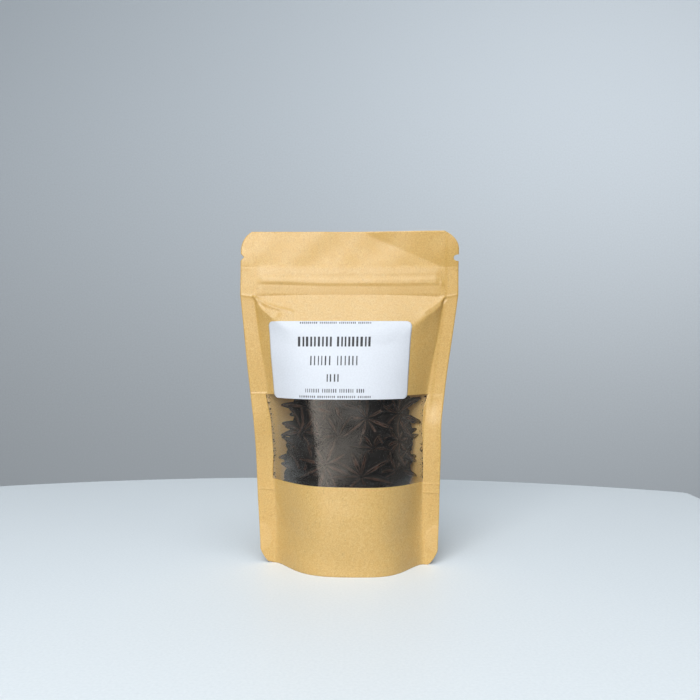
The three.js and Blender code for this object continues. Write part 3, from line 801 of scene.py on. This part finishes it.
def lay_stars(name, stars, clearance, seed):
    """Carpels, seeds and hubs of a layer of fruits. Each fruit is pushed back until it clears the
    front panel by the clearance, and what would pass through either panel is pressed flat to it.
    A star is (x, z, spin, tip, yaw, flip, size, openness, arm angles)."""
    rng = np.random.default_rng(seed)
    count, number = len(stars), len(stars) * ARMS
    size, openness = (np.repeat([s[k] for s in stars], ARMS) for k in (6, 7))
    arms = np.radians([s[8] for s in stars]) + rng.normal(0, 0.05, (count, ARMS))
    length = ARM * size * rng.uniform(0.84, 1.08, number)
    opening = openness * rng.uniform(0.2, 1.0, number)
    spans = ((2.9, 4.3), (4.8, 6.4), (0.8, 3.0))
    width, height, beak = (rng.uniform(*span, number) for span in spans)
    hulls, lip = carpels(length, width, height, opening, beak, rng)

    seeds = ball() * xyz(2.5, 0.75 * np.clip(opening, 0.6, 2.0), 1.7)[:, None, None]
    seeds += xyz(length / 2, 0, -2.2)[:, None, None]
    hub = ball()[::-1, :, ::-1] * [1.9, 1.9, 2.6] + [0, 0, -3.0]

    frames = star_frames(stars)
    pitch = turn("y", rng.normal(0, 0.10, (count, ARMS)))
    arm_turns = (frames[:, None] @ turn("z", arms) @ pitch).reshape(-1, 3, 3)
    hulls, seeds = rotated(hulls, arm_turns), rotated(seeds, arm_turns)
    hubs = rotated(np.repeat(hub[None], count, axis=0), frames)
    centre = np.array([(s[0], 0, s[1]) for s in stars], float)
    hulls += np.repeat(centre, ARMS, axis=0)[:, None, None]
    middle, half_depth = room(hulls)
    short_of = clearance + middle - half_depth - hulls[..., 1]
    centre[:, 1] = short_of.reshape(count, -1).max(axis=1)
    hulls[..., 1] += np.repeat(centre[:, 1], ARMS)[:, None, None]
    seeds += np.repeat(centre, ARMS, axis=0)[:, None, None]
    hubs += centre[:, None, None]
    for skins in (hulls, seeds, hubs):
        middle, half_depth = room(skins)
        free = half_depth - LINING_GAP
        skins[..., 1] = middle + np.clip(skins[..., 1] - middle, -free, free)
    tone = np.repeat(rng.uniform(0, 1, count), ARMS)[:, None, None]
    return (
        closed_skins(f"star_anise_{name}", hulls, lip=lip, tone=tone),
        closed_skins(f"anise_seeds_{name}", seeds),
        closed_skins(f"anise_hubs_{name}", hubs, lip=0.35, tone=0.4),
    )


NEAR_STARS = [
    (5.7, 45.3, 0, 10, 0, 0, 1.2, 1.6, (-12, 32, 80, 112, 144, 178, 222, 290)),
    (8.3, 73.7, 0, -12, -10, 0, 1.15, 1.4, (-62, -20, 22, 85, 127, 175, 218, 262)),
    (-5.5, 64.9, 0, 30, 15, 0, 0.95, 0.9, (-73, -18, 18, 60, 114, 170, 230, 262)),
    (-23.5, 66.5, 0, 10, -36, 0, 1.08, 1, (6, 48, 92, 118, 160, 194, 238, 300)),
    (-20.6, 79.0, 0, -5, -26, 0, 1.1, 1.2, (-8, 40, 74, 110, 172, 248, 276, 310)),
    (24.2, 75.5, 0, 5, 34, 0, 1, 1.4, (37, -24, 80, 118, 155, 222, 260, 295)),
    (24.6, 62.0, 0, -12, 42, 0, 1, 1.2, (12, -50, 62, 100, 150, 195, 235, 275)),
    (23.2, 47.0, 0, 20, 38, 0, 1, 1.4, (24, -22, 72, 112, 158, 205, 250, 292)),
    (-12.0, 51.0, 25, -10, -14, 0, 1, 0.8, EVEN),
    (-24.6, 54.0, 0, 6, -40, 0, 1, 1, (0, 45, 88, 128, 190, 222, 270, 315)),
    (-24.2, 43.5, 0, 12, -36, 0, 1, 0.9, (20, 66, 105, 150, 205, 246, 292, 335)),
    (11.5, 59.0, 33, 30, 12, 0, 0.9, 1.1, EVEN),
    (-8.0, 83.0, 20, -20, 5, 0, 1, 1.5, EVEN),
    (20.0, 89.0, 18, 5, 25, 0, 1, 1, EVEN),
    (5.0, 91.0, 0, 5, 5, 0, 1, 1, EVEN),
    (-18.0, 92.0, 8, 0, -30, 0, 0.95, 1, EVEN),
    (-8.0, 33.0, 14, 0, -8, 0, 1, 1, EVEN),
    (15.0, 30.0, 30, 0, 22, 0, 1, 1, EVEN),
    (-20.0, 30.0, 30, 0, -35, 0, 1, 1, EVEN),
]


def star_behind(x, z, rng):
    """A fruit somewhere near (x, z), lying any way."""
    x, z = x + rng.uniform(-2, 2), z + rng.uniform(-3, 3)
    spin, tip, yaw = rng.uniform(0, 45), rng.uniform(-35, 35), rng.uniform(-35, 35)
    return x, z, spin, tip, yaw, 180 * (rng.random() < 0.4), 1.0, 1.2, EVEN


rng = np.random.default_rng(17)
PLACES_BEHIND = [(x, z) for z in (22, 36, 50, 64, 78, 90) for x in (-20, -7, 7, 20)]
BEHIND_STARS = [star_behind(x, z, rng) for x, z in PLACES_BEHIND]
near_hulls, near_seeds, near_hubs = lay_stars("near", NEAR_STARS, 0.7, 31)
far_hulls, far_seeds, far_hubs = lay_stars("behind", BEHIND_STARS, 9.5, 32)

# Dried fruit wall, air-dried to a hard woody skin, wrinkled and dull: nearly black brown on the
# flanks, darker than the fruit's own reddish brown as painted shade of the heap, and redder and
# paler along the split lips, partly their own colour and partly a painted highlight.
husk = new_material("dried_anise_husk_painted_dark")
place = add(husk, "TexCoord"), "Object"
lip_painted_highlight = add(husk, "Attribute", attribute_name="lip")
tones = add(husk, "Attribute", attribute_name="tone")
wrinkle = add(husk, "TexNoise", {"Vector": place, "Scale": 900, "Detail": 4, "Distortion": 0.6})
patch = add(husk, "TexNoise", {"Vector": place, "Scale": 260, "Detail": 2})
# Painted shade: the flanks' browns are darker than the fruit's own reddish brown.
body = add(husk, "Mix", {"Factor": patch, 6: "#0B0807", 7: "#1A120F"}, data_type="RGBA")
body = add(husk, "Mix", {"Factor": (tones, "Fac"), 6: (body, 2), 7: "#130D0C"}, data_type="RGBA")
# Painted highlight, in part: the lips are lightened to a redder brown.
edge = add(husk, "Math", {0: wrinkle, 1: 0.5, 2: 0.35}, operation="MULTIPLY_ADD")
edge = add(husk, "Math", {0: (lip_painted_highlight, "Fac"), 1: edge}, operation="MULTIPLY")
edge = add(husk, "MapRange", {"Value": edge, "From Min": 0.25, "From Max": 0.7})
body = add(husk, "Mix", {"Factor": edge, 6: (body, 2), 7: "#61493E"}, data_type="RGBA")
ruck = add(husk, "Bump", {"Height": wrinkle, "Strength": 0.6, "Distance": 0.0003})
skin = add(
    husk, "BsdfPrincipled",
    {"Base Color": (body, 2), "Roughness": 0.62, "IOR": 1.5,
     "Specular IOR Level": 0.2, "Normal": ruck},
)
add(husk, "OutputMaterial", {"Surface": skin})

# Seed skin: hard, smooth and naturally polished, chestnut brown.
seed_coat = new_material("polished_seed_coat")
place = add(seed_coat, "TexCoord"), "Object"
mottle = add(seed_coat, "TexNoise", {"Vector": place, "Scale": 350, "Detail": 2})
chestnut = add(seed_coat, "Mix", {"Factor": mottle, 6: "#341C13", 7: "#5A3424"}, data_type="RGBA")
skin = add(
    seed_coat, "BsdfPrincipled", {"Base Color": (chestnut, 2), "Roughness": 0.25, "IOR": 1.5}
)
add(seed_coat, "OutputMaterial", {"Surface": skin})

for piece in (near_hulls, far_hulls, near_hubs, far_hubs):
    finish_with(piece, husk)
for piece in (near_seeds, far_seeds):
    finish_with(piece, seed_coat)


HEAP_LOW, HEAP_HIGH = 9, 92
HEAP_HALF, BEFORE_HEAP = 31.5, 10.5  # half its width, and the room in front of it


def heap_core():
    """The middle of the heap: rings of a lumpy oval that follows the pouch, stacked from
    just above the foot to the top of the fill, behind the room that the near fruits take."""
    z = np.linspace(HEAP_LOW, HEAP_HIGH, 72)[None, :, None]
    theta = np.linspace(0, 2 * np.pi, 112, endpoint=False)[None, None, :]
    depth = np.interp(z, LEVELS, MIDDLE_DEPTHS) - BEFORE_HEAP
    lump = 1.2 * np.sin(0.45 * z + 3 * theta) * np.cos(0.31 * z - 5 * theta)
    lump = lump + 0.6 * np.sin(1.1 * z + 8 * theta) * np.cos(0.8 * z - 13 * theta)
    shrink = 1 - 0.5 * smooth(82, HEAP_HIGH, z) - 0.3 * fade(HEAP_LOW, 16, z)
    narrower = np.where(np.cos(theta) < 0, 4.0 * smooth(45, 82, z), 2.0 * smooth(64, 84, z))
    x = ((HEAP_HALF - narrower) * shrink + lump) * np.cos(theta) - 0.6
    y = (depth * shrink + lump) * np.sin(theta) + 1.0
    return xyz(x, y, z)


core = closed_skins("anise_heap_core", heap_core(), lip=0.0, tone=0.5)
finish_with(core, husk)

# Crumbs: bits of husk that sift down and gather behind both ends of the film.


def crumbs(name, count, seed):
    """Grains of three rings of five jittered points, squashed and turned at random, in a strip
    along each end of the window."""
    rng = np.random.default_rng(seed)
    theta = np.arange(5) * 2 * np.pi / 5
    ring = np.array([0.35, 1.0, 0.45])[:, None]
    level = np.array([-0.8, 0.1, 0.8])[:, None]
    grain = xyz(ring * np.cos(theta), ring * np.sin(theta), level)
    grain = grain[None] * (1 + rng.normal(0, 0.22, (count, 3, 5, 1)))
    size = 0.11 + 0.36 * rng.random(count) ** 2.6
    grain = grain * size[:, None, None, None] * rng.uniform(0.5, 1.3, (count, 1, 1, 3))
    spun = turn("z", rng.uniform(0, 6.3, count)) @ turn("x", rng.uniform(0, 6.3, count))
    grain = rotated(grain, spun)
    side = np.where(rng.random(count) < 0.55, -1, 1)
    z = rng.uniform(42.5, 84, count)
    edge, _ = sheared(np.where(side > 0, WINDOW_RIGHT, WINDOW_LEFT), z)
    u = edge - side * (0.1 + 2.2 * rng.random(count) ** 2)
    at = film_points(u, z)
    at[:, 1] += FILM + 0.15 + size * 0.5
    return closed_skins(name, grain + at[:, None, None], lip=0.15, tone=0.5)


grains = crumbs("anise_crumbs", 260, 9)
finish_with(grains, husk)
for piece in (near_hulls, far_hulls, near_hubs, far_hubs, near_seeds, far_seeds, core, grains):
    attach(piece, "root")
    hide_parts("star_anise")

# ---- The table and the wall behind it ----
# A white table top with a curved back and a rolled edge, lacquered matt, on which the pouch
# stands, and a plain painted wall well behind it. Both are only the set.

TABLE_RADIUS, TABLE_X, TABLE_Y = 720.0, -42.0, -478.0  # the curve of its back, and its middle
TABLE_FRONT, TABLE_HALF = -240.0, 300.0
TABLE_EDGE = 8.0  # radius of the rolled edge, half the top's thickness
WALL_AWAY = 1300.0


def table_top():
    """A disc cut straight along its front and sides: from a point in it the rim lies at
    min(R', F / -sin, H / |cos|), R' solving |r d - c| = R; rings run over the edge and under."""
    theta = np.linspace(0, 2 * np.pi, 512, endpoint=False)
    ahead = TABLE_Y * np.sin(theta)
    rim = ahead + np.sqrt(ahead**2 + TABLE_RADIUS**2 - TABLE_Y**2)
    rim = np.minimum(rim, TABLE_FRONT / np.minimum(np.sin(theta), -1e-6))
    rim = np.minimum(rim, TABLE_HALF / np.maximum(np.abs(np.cos(theta)), 1e-6))
    bend = np.linspace(0.15, np.pi - 0.15, 12)
    inward = np.concatenate([np.linspace(0.02, 0.97, 30), np.zeros(12), [0.9, 0.02]])[:, None]
    rolled = TABLE_EDGE * (np.sin(bend) - 1), TABLE_EDGE * (np.cos(bend) - 1)
    outward = np.concatenate([np.zeros(30), rolled[0], [0, 0]])[:, None]
    level = np.concatenate([np.zeros(30), rolled[1], [-2 * TABLE_EDGE] * 2])[:, None]
    radius = np.where(inward > 0, inward * rim, rim + outward)
    return xyz(TABLE_X + radius * np.cos(theta), radius * np.sin(theta), level)[None, ::-1]


table = closed_skins("table_top", table_top())

# Sprayed lacquer on board, matt: white, slightly blue, with a trace of orange peel.
lacquer = new_material("matt_white_lacquer")
place = add(lacquer, "TexCoord"), "Object"
peel = add(lacquer, "TexNoise", {"Vector": place, "Scale": 900, "Detail": 2})
even = add(lacquer, "Mix", {"Factor": peel, 6: "#DEE5EA", 7: "#EDF3F7"}, data_type="RGBA")
skin = add(lacquer, "BsdfPrincipled", {"Base Color": (even, 2), "Roughness": 0.5, "IOR": 1.45})
add(lacquer, "OutputMaterial", {"Surface": skin})
finish_with(table, lacquer)

WX, WZ = np.meshgrid(np.linspace(-2500, 2500, 30), np.linspace(-1200, 2500, 30))
wall = surface("painted_wall", xyz(WX, WALL_AWAY, WZ))

# Plaster, rolled with matt emulsion: even and faintly stippled, with painted shade greying it low
# down.
plaster = new_material("painted_plaster")
place = add(plaster, "TexCoord"), "Object"
height = add(plaster, "SeparateXYZ", {"Vector": place})
# Painted shade: the colour greys towards the bottom of the wall, where less light falls.
painted_light_rising = add(
    plaster, "MapRange",
    {"Value": (height, "Z"), "From Min": -0.2, "From Max": 0.75},
    interpolation_type="SMOOTHSTEP",
)
rolled = add(plaster, "TexNoise", {"Vector": place, "Scale": 260, "Detail": 2})
speckled = add(plaster, "Math", {0: rolled, 1: 0.6, 2: painted_light_rising}, operation="MULTIPLY_ADD")
speckled = add(plaster, "Math", {0: speckled, 1: 0.3}, operation="SUBTRACT")
stipple_and_painted_shade = add(plaster, "Mix", {"Factor": speckled, 6: "#CCD3D9", 7: "#DFE8F0"}, data_type="RGBA")
skin = add(plaster, "BsdfPrincipled", {"Base Color": (stipple_and_painted_shade, 2), "Roughness": 0.9, "IOR": 1.45})
add(plaster, "OutputMaterial", {"Surface": skin})
finish_with(wall, plaster)

# ---- Light and camera ----
# A soft key high on the left, a wide ceiling light, a lamp on each half of the wall, a weak fill
# and a low warm glow from the right, and a row of strips low in front that the film mirrors,
# dimmer towards the right, in a dim room. Places and sizes are in metres.


def soft_panel(name, centre, aim, width, tall, radiance, tint):
    """A rectangular area lamp aimed at a point; its power is radiance * pi * area."""
    lamp = bpy.data.lights.new(name, "AREA")
    lamp.shape, lamp.size, lamp.size_y = "RECTANGLE", width, tall
    lamp.energy = radiance * np.pi * width * tall
    lamp.color = colour(tint)[:3]
    holder = in_scene(name, lamp)
    holder.location = centre
    x, y, z = np.subtract(aim, centre)
    holder.rotation_euler = (np.pi / 2 + np.arctan2(z, np.hypot(x, y)), 0, -np.arctan2(x, y))
    holder.visible_camera = False


soft_panel("key_light", (-0.26, -0.99, 0.63), (0, 0, 0.08), 0.80, 0.50, 8.1, "#FFFFFF")
soft_panel("ceiling_light", (-0.05, -0.62, 1.60), (0, -0.1, 0.0), 1.1, 0.9, 4.6, "#F2FAFF")
soft_panel("wall_light", (0.92, 0.42, 0.61), (0.92, 1.3, 0.61), 1.5, 1.1, 1.1, "#FFFFFF")
soft_panel("left_wall_light", (-1.0, 0.42, 0.10), (-1.0, 1.3, 0.10), 1.2, 0.8, 0.30, "#FFFCF8")
soft_panel("right_fill", (0.85, -0.62, 0.65), (0, 0, 0.08), 0.5, 0.4, 1.1, "#FFF1E2")
soft_panel("side_glow", (1.2, -0.22, 0.14), (0, 0, 0.08), 0.7, 0.5, 0.12, "#FFE6C8")
STRIPS_AT = -0.95
for left, right, low, high, radiance in (
    (-0.87, -0.77, -0.06, 0.11, 1.7),
    (-0.77, -0.62, -0.06, 0.34, 1.8),
    (-0.62, -0.42, -0.06, 0.34, 1.7),
    (-0.42, -0.26, -0.06, 0.34, 1.35),
    (-0.26, -0.12, 0.02, 0.34, 0.85),
    (-0.12, 0.02, 0.08, 0.34, 0.55),
    (0.02, 0.17, 0.13, 0.34, 0.20),
    (0.17, 0.34, 0.18, 0.34, 0.05),
):
    x, z = (left + right) / 2, (low + high) / 2
    at, aim = (x, STRIPS_AT, z), (x, 0, z)
    soft_panel("front_panel_light", at, aim, right - left, high - low, radiance, "#FFF4E8")
surroundings = bpy.data.worlds.new("room")
bpy.context.scene.world = surroundings
surroundings.use_nodes = True
dim_room = surroundings.node_tree.nodes["Background"].inputs
dim_room["Color"].default_value = colour("#D4DAE2")
dim_room["Strength"].default_value = 0.14
bpy.context.scene.view_settings.view_transform = "Standard"

# Level, a little above the pouch's middle, straight in front.
lens = bpy.data.cameras.new("camera")
lens.lens, lens.sensor_width, lens.clip_start = 36.0, 36.0, 0.01
camera = in_scene("camera", lens)
camera.location = (0.0002, -0.353, 0.107)
camera.rotation_euler = (np.pi / 2, 0, 0)
bpy.context.scene.camera = camera
